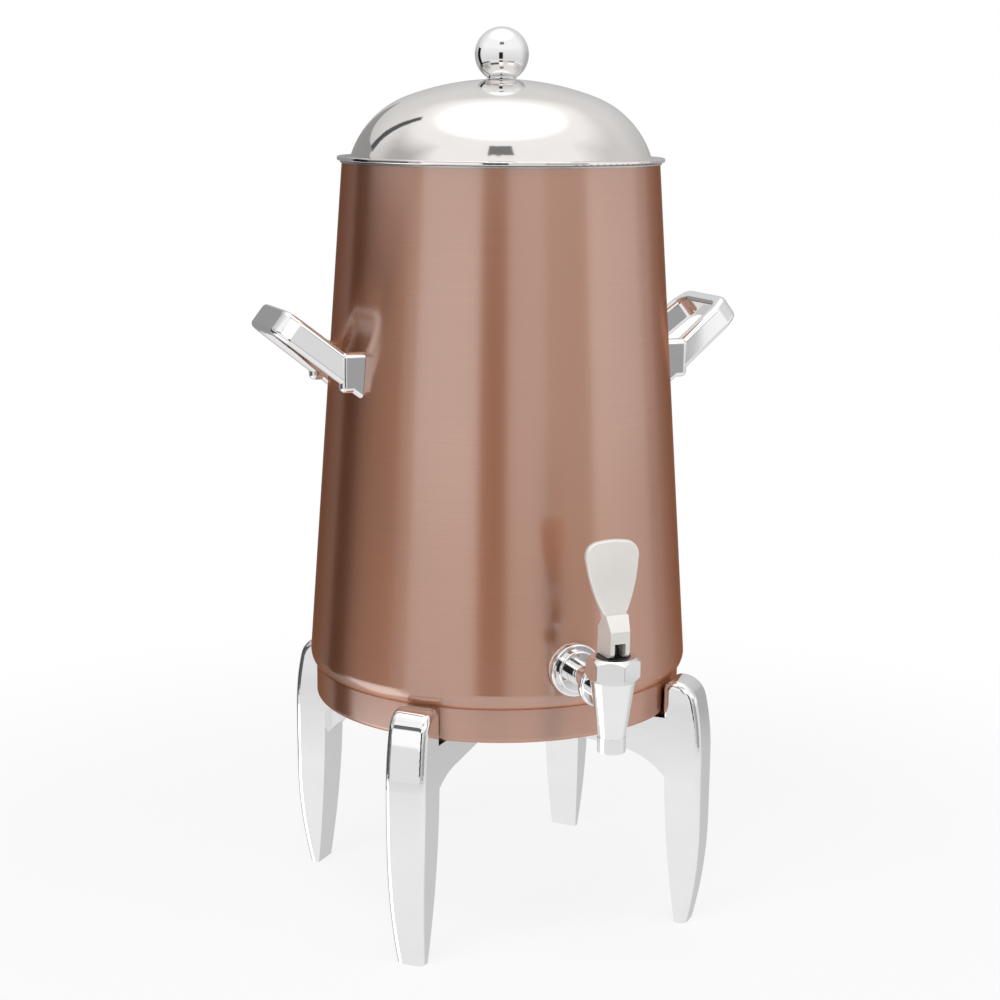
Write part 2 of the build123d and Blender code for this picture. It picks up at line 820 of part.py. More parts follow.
with BuildPart() as leg_nuts:
    for place in bolt_places:
        with BuildSketch(Plane.XY.offset(support_top_z)):
            with PolarLocations(place, len(leg_angles), start_angle=45):
                RegularPolygon(nut_flats / 2, 6, major_radius=False)
                Circle(bolt_radius + tap_fit, mode=Mode.SUBTRACT)
        extrude(amount=nut_height)
leg_nuts.part.label = "leg_nuts"
export_step(leg_nuts.part, "parts/leg_nuts.step")

# Tap flange, seals and nut on the shank, from outside to inside
tap_bore = shank_radius + tap_fit
flange_step = flange_back + flange_length_outer
with BuildPart() as tap_flange:
    turn(
        [
            (tap_bore, flange_back),
            (flange_radius_outer, flange_back),
            (flange_radius_outer, flange_step),
            (flange_radius_inner, flange_step),
            (flange_radius_inner, flange_face),
            (tap_bore, flange_face),
        ],
        shank_plane,
    )
    for step_radius in (flange_radius_outer, flange_radius_inner):
        rims = tap_flange.edges().filter_by(GeomType.CIRCLE)
        front_rim = rims.filter_by(lambda rim: abs(rim.radius - step_radius) < tap_fit)
        fillet(front_rim.sort_by(Axis.Y)[0], flange_edge_round)
tap_flange.part.label = "tap_flange"
export_step(tap_flange.part, "parts/tap_flange.step")

inner_gasket_face = tank_front - inner_gasket_thickness
with BuildPart() as tap_gaskets:
    with BuildSketch(shank_outward.offset(inner_gasket_face)):
        Circle(inner_gasket_radius)
    extrude(amount=2 * inner_gasket_thickness)
    cone_solid(tank_offset + tank_wall + tap_fit, Mode.INTERSECT)
    with BuildSketch(shank_outward.offset(shell_front - inner_gasket_thickness)):
        Circle(gasket_radius)
    outer_seal = extrude(amount=inner_gasket_thickness + gasket_thickness, mode=Mode.PRIVATE)
    with Locations((0, 0, seam_z)):
        shell_core = Cone(
            shell_radius(seam_z, -tap_fit),
            shell_radius(shell_top_z, -tap_fit),
            shell_height,
            align=upright,
            mode=Mode.PRIVATE,
        )
    add(outer_seal - shell_core)
    with Locations(shank_outward):
        Cylinder(tap_bore, 2 * shell_front, align=upright, mode=Mode.SUBTRACT)
tap_gaskets.part.label = "tap_gaskets"
export_step(tap_gaskets.part, "parts/tap_gaskets.step")

with BuildPart() as tap_spacer:
    with Locations(shank_outward):
        Cylinder(spacer_radius, shell_front, align=upright)
    cone_solid(shell_wall + tap_fit, Mode.INTERSECT)
    cone_solid(tank_offset - tap_fit, Mode.SUBTRACT)
    with Locations(shank_outward):
        Cylinder(tap_bore, 2 * shell_front, align=upright, mode=Mode.SUBTRACT)
tap_spacer.part.label = "tap_spacer"
export_step(tap_spacer.part, "parts/tap_spacer.step")

with BuildPart() as tap_nut:
    with BuildSketch(shank_outward.offset(inner_gasket_face - tap_nut_thickness)):
        RegularPolygon(tap_nut_flats / 2, 6, major_radius=False)
        Circle(tap_bore, mode=Mode.SUBTRACT)
    extrude(amount=tap_nut_thickness)
tap_nut.part.label = "tap_nut"
export_step(tap_nut.part, "parts/tap_nut.step")

# Tap body: a tapered barrel on the shank, bored for the valve
valve_top_z = shank_z + valve_top_rise
valve_low_z = shank_z - valve_low_drop
seat_z = shank_z - seat_drop
spigot_top_z = valve_top_z + spigot_height
shank_end = tank_front - shank_end_length
with BuildPart() as tap_body:
    with BuildSketch(shank_outward.offset(collar_front - collar_length)):
        Circle(collar_radius)
    extrude(amount=collar_length)
    fillet(tap_body.edges().filter_by(GeomType.CIRCLE), flange_edge_round)
    with BuildSketch(shank_outward.offset(shank_end)):
        Circle(shank_radius)
    extrude(amount=tap_reach - shank_end)
    turn(
        [
            (0, valve_low_z),
            (valve_low_radius, valve_low_z),
            (valve_top_radius, valve_top_z),
            (spigot_radius, valve_top_z),
            (spigot_radius, spigot_top_z),
            (0, spigot_top_z),
        ],
        valve_plane,
    )
    with BuildSketch(shank_outward.offset(shank_end)):
        Circle(shank_bore)
    extrude(amount=tap_reach - shank_end, mode=Mode.SUBTRACT)
    with Locations((0, -tap_reach, seat_z)):
        Cylinder(chamber_radius, spigot_top_z - seat_z, align=upright, mode=Mode.SUBTRACT)
        Cylinder(outlet_radius, seat_z - valve_low_z, align=hanging, mode=Mode.SUBTRACT)
    with Locations((0, -tap_reach, valve_low_z)):
        Cylinder(
            nozzle_spigot_radius + tap_fit,
            nozzle_spigot_length + tap_fit,
            align=upright,
            mode=Mode.SUBTRACT,
        )
tap_body.part.label = "tap_body"
export_step(tap_body.part, "parts/tap_body.step")

with BuildPart() as tap_nozzle:
    with Locations((0, -tap_reach, valve_low_z)):
        Cylinder(nozzle_radius, nozzle_length, align=hanging)
    fillet(tap_nozzle.edges().group_by(Axis.Z)[0], nozzle_edge_round)
    with Locations((0, -tap_reach, valve_low_z)):
        Cylinder(nozzle_spigot_radius, nozzle_spigot_length, align=upright)
        Cylinder(outlet_radius, 3 * nozzle_length, mode=Mode.SUBTRACT)
tap_nozzle.part.label = "tap_nozzle"
export_step(tap_nozzle.part, "parts/tap_nozzle.step")

# Bonnet screwed on the barrel, with the gland in its top
bonnet_top_z = valve_top_z + bonnet_height
gland_top_z = bonnet_top_z + gland_stand
gland_seat_z = gland_top_z - gland_rim
sleeve_low_z = gland_seat_z - gland_sleeve_depth
with BuildPart() as tap_bonnet:
    with BuildSketch(Plane.XY.offset(valve_top_z)):
        with Locations((0, -tap_reach)):
            RegularPolygon(bonnet_flats / 2, 6, major_radius=False, rotation=30)
    extrude(amount=bonnet_height)
    fillet(tap_bonnet.edges().filter_by(Axis.Z), bonnet_corner)
    with Locations((0, -tap_reach, valve_top_z)):
        face_radius = bonnet_flats / 2 - bonnet_face_inset
        wide_radius = face_radius + bonnet_height
        Cone(wide_radius, face_radius, bonnet_height, align=upright, mode=Mode.INTERSECT)
        Cone(face_radius, wide_radius, bonnet_height, align=upright, mode=Mode.INTERSECT)
        Cylinder(
            spigot_radius + tap_fit, spigot_height + tap_fit, align=upright, mode=Mode.SUBTRACT
        )
        Cylinder(chamber_radius, bonnet_height - bonnet_roof, align=upright, mode=Mode.SUBTRACT)
        Cylinder(
            gland_sleeve_radius + tap_fit, bonnet_height, align=upright, mode=Mode.SUBTRACT
        )
    with Locations((0, -tap_reach, gland_seat_z - tap_fit)):
        Cylinder(gland_rim_radius + tap_fit, gland_rim, align=upright, mode=Mode.SUBTRACT)
tap_bonnet.part.label = "tap_bonnet"
export_step(tap_bonnet.part, "parts/tap_bonnet.step")

with BuildPart() as tap_gland:
    with Locations((0, -tap_reach, gland_seat_z)):
        Cylinder(gland_rim_radius, gland_rim, align=upright)
        Cylinder(gland_sleeve_radius, gland_sleeve_depth, align=hanging)
        Cylinder(stem_radius + gland_fit, 3 * gland_sleeve_depth, mode=Mode.SUBTRACT)
tap_gland.part.label = "tap_gland"
export_step(tap_gland.part, "parts/tap_gland.step")

# Seat cup, and the stem whose button it holds
pin_z = gland_top_z + pin_rise
cup_z = seat_z + cup_seat_gap
button_z = cup_z + cup_floor
cup_top_z = cup_z + cup_height
with BuildPart() as tap_seat_cup:
    with Locations((0, -tap_reach, cup_z)):
        Cylinder(cup_radius, cup_height, align=upright)
    with Locations((0, -tap_reach, button_z - cup_fit)):
        Cylinder(
            stem_button_radius + cup_fit,
            stem_button + 2 * cup_fit,
            align=upright,
            mode=Mode.SUBTRACT,
        )
        Cylinder(stem_radius + cup_fit, cup_height, align=upright, mode=Mode.SUBTRACT)
tap_seat_cup.part.label = "tap_seat_cup"
export_step(tap_seat_cup.part, "parts/tap_seat_cup.step")

with BuildPart() as tap_stem:
    with Locations((0, -tap_reach, button_z)):
        Cylinder(stem_button_radius, stem_button, align=upright)
        Cylinder(stem_radius, pin_z - button_z, align=upright)
    with Locations((0, -tap_reach, pin_z)):
        Sphere(stem_radius)
        Cylinder(pin_radius + pin_fit, 4 * stem_radius, rotation=(0, 90, 0), mode=Mode.SUBTRACT)
tap_stem.part.label = "tap_stem"
export_step(tap_stem.part, "parts/tap_stem.step")

# Spring around the stem, between the cup and the gland's sleeve, on two arcs a quarter turn
spring_low_z = cup_top_z + spring_end_gap + spring_wire
spring_rise = sleeve_low_z - spring_end_gap - spring_wire - spring_low_z
quarter_angle = pi / 2
quarter_count = 4 * spring_turns
quarter_rise = spring_rise / quarter_count
coil_slope = quarter_rise / (spring_radius * quarter_angle)


def coil_point(quarter):
    """Point and unit direction on the spring's centre line after a number of quarter turns."""
    angle = quarter * quarter_angle
    point = Vector(
        spring_radius * cos(angle),
        spring_radius * sin(angle) - tap_reach,
        spring_low_z + quarter * quarter_rise,
    )
    return point, Vector(-sin(angle), cos(angle), coil_slope).normalized()


with BuildPart() as tap_spring:
    with BuildLine() as coil:
        for quarter in range(quarter_count):
            begin, begin_way = coil_point(quarter)
            finish, finish_way = coil_point(quarter + 1)
            chord = finish - begin
            ways = begin_way + finish_way
            square = 4 - ways.dot(ways)
            half = chord.dot(ways)
            reach = (sqrt(half**2 + square * chord.dot(chord)) - half) / square
            bend_in = begin + begin_way * reach
            bend_out = finish - finish_way * reach
            middle = (bend_in + bend_out) * 0.5
            TangentArc(begin, middle, tangent=begin_way)
            TangentArc(middle, finish, tangent=bend_out - bend_in)
    coil_start, coil_way = coil_point(0)
    with BuildSketch(Plane(origin=coil_start, z_dir=coil_way)):
        Circle(spring_wire)
    sweep(path=coil.line)
tap_spring.part.label = "tap_spring"
export_step(tap_spring.part, "parts/tap_spring.step")

# Tap handle: its side outline is (forward of the pin, above the gland), its front outline
# is (across, above the gland); the cam's round front lifts the pin as the handle tips
handle_side = Plane(origin=(0, -tap_reach, gland_top_z), x_dir=(0, -1, 0), z_dir=(-1, 0, 0))
handle_front = Plane(origin=(0, -tap_reach, gland_top_z), x_dir=(1, 0, 0), z_dir=(0, -1, 0))
cam_radius = pin_rise - cam_clearance
fork_front = cam_offset + cam_radius
fork_rear = fork_front - fork_depth
tip_z = paddle_height + paddle_edge_round
pin_left = fork_slot / 2 + pin_blind_depth
with BuildPart() as tap_handle:
    with BuildSketch(handle_side):
        with BuildLine():
            TangentArc((cam_offset, cam_clearance), (fork_front, pin_rise), tangent=(1, 0))
            Polyline(
                (fork_front, pin_rise),
                (fork_front, fork_height),
                (paddle_thickness / 2 + neck_ledge, neck_height),
                (paddle_thickness / 2, neck_height),
                (paddle_tip_thickness / 2 - paddle_lean, tip_z),
                (-paddle_tip_thickness / 2 - paddle_lean, tip_z),
                (-paddle_thickness / 2, neck_rear_height),
                (fork_rear, fork_height),
                (fork_rear, cam_clearance),
                (cam_offset, cam_clearance),
            )
        make_face()
    extrude(amount=2 * paddle_half_width, both=True)
    with BuildSketch(handle_front):
        with BuildLine() as right_half:
            Polyline(
                (0, 0),
                (fork_width / 2, 0),
                (fork_width / 2, fork_height),
                (neck_half_width, neck_height),
            )
            ThreePointArc(
                (neck_half_width, neck_height),
                (paddle_middle_half_width, paddle_middle_height),
                (paddle_half_width, paddle_widest),
            )
            ThreePointArc(
                (paddle_half_width, paddle_widest),
                (paddle_round_half_width, paddle_round_height),
                (paddle_top_half_width, paddle_top_height),
            )
            TangentArc(
                (0, paddle_height), (paddle_top_half_width, paddle_top_height), tangent=(1, 0)
            )
            mirror(about=Plane.YZ)
        make_face()
    extrude(amount=2 * fork_depth, both=True, mode=Mode.INTERSECT)
    paddle_z = gland_top_z + neck_height
    paddle_edges = tap_handle.edges().filter_by(
        lambda edge: min(vertex.Z for vertex in edge.vertices()) > paddle_z - tap_fit
        and max(vertex.Z for vertex in edge.vertices()) > paddle_z + paddle_edge_round
    )
    fillet(paddle_edges, paddle_edge_round)
    with Locations((0, -tap_reach, gland_top_z)):
        Box(
            fork_slot,
            2 * fork_depth,
            pin_rise + fork_roof,
            align=upright,
            mode=Mode.SUBTRACT,
        )
    with Locations((-pin_left, -tap_reach, pin_z)):
        Cylinder(
            pin_radius + pin_fit,
            fork_width,
            rotation=(0, 90, 0),
            align=upright,
            mode=Mode.SUBTRACT,
        )
tap_handle.part.label = "tap_handle"
export_step(tap_handle.part, "parts/tap_handle.step")

with BuildPart() as tap_handle_pin:
    with Locations((pin_fit - pin_left, -tap_reach, pin_z)):
        Cylinder(
            pin_radius,
            pin_left + fork_width / 2 - pin_fit - pin_end_inset,
            rotation=(0, 90, 0),
            align=upright,
        )
tap_handle_pin.part.label = "tap_handle_pin"
export_step(tap_handle_pin.part, "parts/tap_handle_pin.step")

# Heating element: an open ring under the tank floor whose ends bend down to the terminals
element_z = tank_floor_z - element_touch_gap - element_radius
clamp_top_z = element_z - element_radius
clamp_z = clamp_top_z - clamp_plate
ring_end = Vector(*polar(element_ring_radius, element_gap_angle, element_z))
end_way = Vector(*polar(element_bend, element_gap_angle - 90.0))
bend_end = ring_end + end_way - Vector(0, 0, element_bend)
bend_middle = ring_end + end_way * sin(pi / 4) - Vector(0, 0, element_bend * (1 - cos(pi / 4)))
tail_end = bend_end - Vector(0, 0, element_tail)
pin_end_z = tail_end.Z - element_pin_length
with BuildPart() as heating_element:
    with BuildLine() as element_path:
        Line(tail_end, bend_end)
        ThreePointArc(bend_end, bend_middle, ring_end)
        ThreePointArc(
            ring_end, (-element_ring_radius, 0, element_z), (ring_end.X, -ring_end.Y, ring_end.Z)
        )
        mirror(element_path.edges()[:2], about=Plane.XZ)
    with BuildSketch(Plane(origin=tail_end, z_dir=(0, 0, 1))):
        Circle(element_radius)
    sweep(path=element_path.line)
    with Locations((tail_end.X, tail_end.Y, tail_end.Z), (tail_end.X, -tail_end.Y, tail_end.Z)):
        Cylinder(element_pin_radius, element_pin_length, align=hanging)
heating_element.part.label = "heating_element"
export_step(heating_element.part, "parts/heating_element.step")

# Sensors on the clamp plate, pressed to the tank floor, and the places of their tabs
sensor_height = tank_floor_z - element_touch_gap - clamp_top_z
tab_low_z = clamp_z - sensor_tab_length


def tab_places(angle):
    """Plan points of a sensor's two tabs, side by side across its own radius."""
    centre = Vector(*polar(sensor_place, angle))
    step = Vector(*polar(sensor_tab_pitch / 2, angle + 90.0))
    return centre + step, centre - step


with BuildPart() as element_clamp:
    with Locations((0, 0, clamp_z)):
        Cylinder(clamp_radius, clamp_plate, align=upright)
        Cylinder(stud_radius + stud_fit, 3 * clamp_plate, mode=Mode.SUBTRACT)
    with Locations((ring_end.X - clamp_tail_room, 0, clamp_z)):
        Box(
            clamp_radius,
            2 * (ring_end.Y + clamp_tail_room),
            3 * clamp_plate,
            align=(Align.MIN, Align.CENTER, Align.CENTER),
            mode=Mode.SUBTRACT,
        )
    for angle in sensor_angles:
        for place in tab_places(angle):
            with Locations(Location((place.X, place.Y, clamp_z), (0, 0, angle))):
                Box(
                    sensor_tab_width + 2 * clamp_tab_room,
                    sensor_tab_thickness + 2 * clamp_tab_room,
                    3 * clamp_plate,
                    mode=Mode.SUBTRACT,
                )
element_clamp.part.label = "element_clamp"
export_step(element_clamp.part, "parts/element_clamp.step")

with BuildPart() as clamp_nut:
    with BuildSketch(Plane.XY.offset(clamp_z - clamp_nut_height)):
        RegularPolygon(clamp_nut_flats / 2, 6, major_radius=False)
        Circle(stud_radius + tap_fit, mode=Mode.SUBTRACT)
    extrude(amount=clamp_nut_height)
clamp_nut.part.label = "clamp_nut"
export_step(clamp_nut.part, "parts/clamp_nut.step")

for name, angle in zip(("thermostat", "thermal_cutout"), sensor_angles):
    with BuildPart() as sensor:
        with Locations(polar(sensor_place, angle, clamp_top_z)):
            Cylinder(sensor_radius, sensor_height, align=upright)
        for place in tab_places(angle):
            with Locations(Location((place.X, place.Y, clamp_top_z), (0, 0, angle))):
                Box(
                    sensor_tab_width,
                    sensor_tab_thickness,
                    clamp_top_z - tab_low_z,
                    align=hanging,
                )
    sensor.part.label = name
    export_step(sensor.part, f"parts/{name}.step")

# Wiring between inlet, sensors and terminals
with BuildPart() as terminal_block:
    with Locations((tail_end.X, 0, support_top_z)):
        Box(terminal_width, terminal_length, pin_end_z - support_top_z, align=upright)
terminal_block.part.label = "terminal_block"
export_step(terminal_block.part, "parts/terminal_block.step")

lead_z = tab_low_z - lead_drop
inlet_face = inlet_place - inlet_body_width / 2
inlet_tab_end = inlet_face - inlet_tab_length
lead_start = inlet_tab_end - tap_fit
terminal_end = terminal_length / 2 + tap_fit
terminal_turn = terminal_end + terminal_lead_run
stat_out, stat_in = tab_places(sensor_angles[0])
cutout_out, cutout_in = tab_places(sensor_angles[1])


def lead(points):
    """Round lead along route points, with rounded corners."""
    with BuildLine() as path:
        FilletPolyline(*points, radius=lead_bend)
    with BuildSketch(Plane(origin=path.line @ 0, z_dir=path.line % 0)) as section:
        Circle(lead_radius)
    sweep(section.sketch, path=path.line)


def under_tab(place):
    """Route points of a lead's end, from its own level up to a sensor's tab."""
    return [(place.X, place.Y, lead_z), (place.X, place.Y, tab_low_z - tap_fit)]


with BuildPart() as live_leads:
    lead(
        [
            (-inlet_pin_pitch, lead_start, lead_z),
            (-inlet_pin_pitch, lead_start - lead_run, lead_z),
            (stat_in.X, stat_in.Y + lead_run, lead_z),
            *under_tab(stat_in),
        ]
    )
    lead([*reversed(under_tab(stat_out)), *under_tab(cutout_in)])
    lead(
        [
            *reversed(under_tab(cutout_out)),
            (tail_end.X, -terminal_turn, lead_z),
            (tail_end.X, -terminal_end, lead_z),
        ]
    )
live_leads.part.label = "live_leads"
export_step(live_leads.part, "parts/live_leads.step")

with BuildPart() as neutral_lead:
    lead(
        [
            (inlet_pin_pitch, lead_start, lead_z),
            (inlet_pin_pitch, lead_start - lead_run, lead_z),
            (tail_end.X, terminal_turn, lead_z),
            (tail_end.X, terminal_end, lead_z),
        ]
    )
neutral_lead.part.label = "neutral_lead"
export_step(neutral_lead.part, "parts/neutral_lead.step")

with BuildPart() as earth_lead:
    earth_end = earth_stud_place + earth_stud_radius + tap_fit
    with Locations((0, lead_start, lead_z)):
        Cylinder(lead_radius, lead_start - earth_end, rotation=(90, 0, 0), align=upright)
earth_lead.part.label = "earth_lead"
export_step(earth_lead.part, "parts/earth_lead.step")

# Appliance inlet: a flange under the pan, a body above it and three pins in its socket
inlet_low_z = floor_clearance - inlet_flange
socket_top_z = inlet_low_z + inlet_socket_depth
with BuildPart() as power_inlet:
    with Locations((0, inlet_place, inlet_low_z)):
        Box(inlet_flange_length, inlet_flange_width, inlet_flange, align=upright)
    fillet(power_inlet.edges().filter_by(Axis.Z), inlet_flange_corner)
    with Locations((0, inlet_place, floor_clearance)):
        Box(inlet_body_length, inlet_body_width, inlet_body_height, align=upright)
    with Locations((0, inlet_place, inlet_low_z)):
        Box(
            inlet_socket_length,
            inlet_socket_width,
            inlet_socket_depth,
            align=upright,
            mode=Mode.SUBTRACT,
        )
        with GridLocations(inlet_screw_pitch, 0, 2, 1):
            Cylinder(inlet_screw_radius + tap_fit, 4 * inlet_flange, mode=Mode.SUBTRACT)
    with Locations((0, inlet_place + inlet_pin_offset, socket_top_z)):
        with GridLocations(inlet_pin_pitch, 0, 3, 1):
            Box(
                inlet_pin_width,
                inlet_pin_depth,
                inlet_socket_depth - inlet_pin_recess,
                align=hanging,
            )
    with Locations((0, inlet_face, lead_z)):
        with GridLocations(inlet_pin_pitch, 0, 3, 1):
            Box(
                inlet_tab_width,
                inlet_tab_length,
                inlet_tab_thickness,
                align=(Align.CENTER, Align.MAX, Align.CENTER),
            )
power_inlet.part.label = "power_inlet"
export_step(power_inlet.part, "parts/power_inlet.step")

with BuildPart() as inlet_screws:
    with Locations((0, inlet_place, inlet_low_z)):
        with GridLocations(inlet_screw_pitch, 0, 2, 1):
            Cylinder(inlet_screw_radius, inlet_screw_length, align=upright)
            Cylinder(inlet_screw_head_radius, inlet_screw_head, align=hanging)
inlet_screws.part.label = "inlet_screws"
export_step(inlet_screws.part, "parts/inlet_screws.step")
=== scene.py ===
"""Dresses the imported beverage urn: materials, studio and camera, in metres and the part's own frame."""

import json
from math import cos, pi, radians, sin, tan

import bmesh
import bpy
from mathutils import Matrix, Vector


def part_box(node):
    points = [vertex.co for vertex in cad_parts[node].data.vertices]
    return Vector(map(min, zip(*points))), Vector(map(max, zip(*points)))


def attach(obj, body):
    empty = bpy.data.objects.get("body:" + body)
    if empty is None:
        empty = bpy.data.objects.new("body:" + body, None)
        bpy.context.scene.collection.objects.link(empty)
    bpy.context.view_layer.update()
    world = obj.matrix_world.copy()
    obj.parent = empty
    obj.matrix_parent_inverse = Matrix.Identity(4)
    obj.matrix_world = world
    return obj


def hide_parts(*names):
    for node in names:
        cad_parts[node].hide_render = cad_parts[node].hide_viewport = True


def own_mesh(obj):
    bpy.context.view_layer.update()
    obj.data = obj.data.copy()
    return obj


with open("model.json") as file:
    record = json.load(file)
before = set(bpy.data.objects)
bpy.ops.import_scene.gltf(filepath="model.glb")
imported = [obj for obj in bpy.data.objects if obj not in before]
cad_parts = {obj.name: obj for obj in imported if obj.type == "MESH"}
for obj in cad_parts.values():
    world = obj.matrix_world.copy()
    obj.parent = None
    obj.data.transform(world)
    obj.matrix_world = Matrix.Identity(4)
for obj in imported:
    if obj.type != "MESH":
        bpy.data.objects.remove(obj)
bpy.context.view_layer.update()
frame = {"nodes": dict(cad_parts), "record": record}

# Camera, fitted to the photograph
CAMERA_PLACE = Vector((-0.4915, -1.1947, 0.5290))
CAMERA_TURN = radians(-22.41)
CAMERA_DIP = radians(11.338)
CAMERA_ROLL = radians(0.456)
CAMERA_LENS = 72.02
SENSOR_WIDTH = 36.0

# Colours, as linear light; those named edge show at a grazing angle
BLACK = (0, 0, 0, 1)
WHITE = (1, 1, 1, 1)
COPPER_LIGHT = (0.67, 0.293, 0.167, 1)
COPPER_DARK = (0.63, 0.275, 0.155, 1)
COPPER_EDGE = (0.75, 0.49, 0.39, 1)
LACQUER = (0.95, 0.93, 0.90, 1)
LACQUER_EDGE = (0.45, 0.20, 0.12, 1)
STEEL_LIGHT = (0.83, 0.80, 0.775, 1)
STEEL_DARK = (0.81, 0.78, 0.755, 1)
CHROME_LIGHT = (0.88, 0.88, 0.88, 1)
CHROME_DARK = (0.86, 0.86, 0.86, 1)
SATIN_LIGHT = (0.62, 0.62, 0.61, 1)
SATIN_DARK = (0.46, 0.46, 0.45, 1)
PEARL_LIGHT = (0.78, 0.755, 0.72, 1)
PEARL_DARK = (0.70, 0.675, 0.64, 1)
FELT_LIGHT = (0.70, 0.68, 0.61, 1)
FELT_DARK = (0.42, 0.40, 0.34, 1)
FLOOR_TONE = (0.9, 0.9, 0.9, 1)

# Moulded materials: dark tone, light tone and roughness
MOULDED = {
    "black_plastic": ((0.008, 0.008, 0.008, 1), (0.018, 0.018, 0.018, 1), 0.38),
    "black_rubber": ((0.012, 0.012, 0.012, 1), (0.026, 0.026, 0.026, 1), 0.72),
    "silicone": ((0.62, 0.62, 0.58, 1), (0.72, 0.72, 0.68, 1), 0.55),
    "lead_brown": ((0.10, 0.04, 0.02, 1), (0.15, 0.06, 0.03, 1), 0.45),
    "lead_blue": ((0.02, 0.07, 0.24, 1), (0.03, 0.10, 0.32, 1), 0.45),
    "lead_green": ((0.06, 0.20, 0.03, 1), (0.10, 0.28, 0.05, 1), 0.45),
}

# Shares, stretches and spreads of the materials; tones change between two levels of a noise
LACQUER_SHARE = 0.22
NOISE_LOW = 0.3
NOISE_HIGH = 0.7
BRUSH_STRETCH = (9, 9, 1900)
GRAIN_STRETCH = (1, 1, 30)
POLISH_SPREAD = 0.15
MOULD_SPREAD = 0.06

# Tap spring
SPRING_WIRE = 0.00045
SPRING_TURNS = 5
TURN_STEPS = 32
WIRE_SIDES = 10

# Studio: azimuths in degrees are counted from the camera's side of the object, positive to its right
CENTRE = Vector((0, 0, 0.33))
TENT_RADIUS = 4.0
CARD_RADIUS = 2.4
CARD_STEPS = 12
SOFT_ROWS = 8
SOFT_EDGE = 0.35

# Tent: shade by degrees above the horizon, and where along its depth the front turns into the back
TENT_FRONT = (
    (-90, 0.90), (-45, 0.90), (-33, 0.92), (-24, 0.93), (-18, 0.78), (12, 0.92),
    (30, 1.05), (45, 1.04), (58, 1.06), (64, 1.45), (90, 1.50),
)
TENT_BEHIND = (
    (-90, 0.78), (-60, 0.66), (-40, 0.62), (-24, 0.61), (-18, 0.55), (-13, 0.45), (5, 0.45),
    (10, 0.56), (34, 0.77), (47, 0.80), (55, 1.06), (62, 1.30), (90, 1.50),
)
TENT_BLEND = (-0.1, 0.75)

# Strips that the copper mirrors, each darker in its lower part: name, azimuths and shade
STRIPS = (
    ("card_left_edge", (-65, -55), 0.45),
    ("card_left_strip", (-55, -14), 1.12),
    ("card_middle_strip", (5, 30), 0.78),
    ("card_right_strip", (30, 61), 0.5),
    ("card_far_strip", (61, 109), 1.06),
    ("card_far_edge", (109, 124), 0.75),
)
STRIP_HIGH = (-5, 12)
STRIP_LOW = (-19, -5)
STRIP_FALL = 0.75

# Other cards: name, azimuths, heights and shade
CARDS = (
    ("card_gap", (-12, 5), (-15.5, 12), 0.02),
    ("card_left_upper", (-56, -13), (15, 29), 0.15),
    ("card_gap_upper", (-12, 5), (15, 29), 1.8),
    ("card_right_upper", (30, 61), (15, 29), 1.4),
    ("card_left_gap", (-103, -65), (-19, 7), 0.12),
    ("card_left_low", (-101, -62), (-50, -21), 2.1),
    ("card_left_side", (-120, -56), (4, 48), 0.50),
    ("card_right_side", (66, 140), (6, 48), 0.71),
    ("card_dark_left", (-122, -103), (-24, 20), 0.01),
    ("card_dark_upper", (-128, -120.5), (22, 55), 0.1),
    ("card_behind_left", (-180, -122), (-17, 9), 0.31),
    ("card_behind_upper", (-165, -122), (9, 23), 0.33),
    ("card_lens", (-11.5, 11.5), (42, 57), 0.22),
)
# Cards whose edges fade, and cards that show in the lid's knob
SOFT_CARDS = ("card_left_side", "card_right_side")
KNOB_CARDS = ("card_gap", "card_dark_left", "card_lens")

# Softboxes: name, azimuth, distance and height of the place, width and height of the lamp, power
SOFTBOXES = (
    ("softbox_left", -42, 2.2, 0.75, 1.1, 2.2, 21),
    ("softbox_right", 62, 2.4, 0.75, 2.4, 2.2, 27),
    ("softbox_top", -10, 0.9, 2.3, 1.2, 0.8, 14),
)
WORLD_LEVEL = 0.42

# Floor
FLOOR_SIZE = 12.0
SHADOW_REACH = 0.3
WHITE_REACH = 0.75
NEAR_GLOW = 0.84


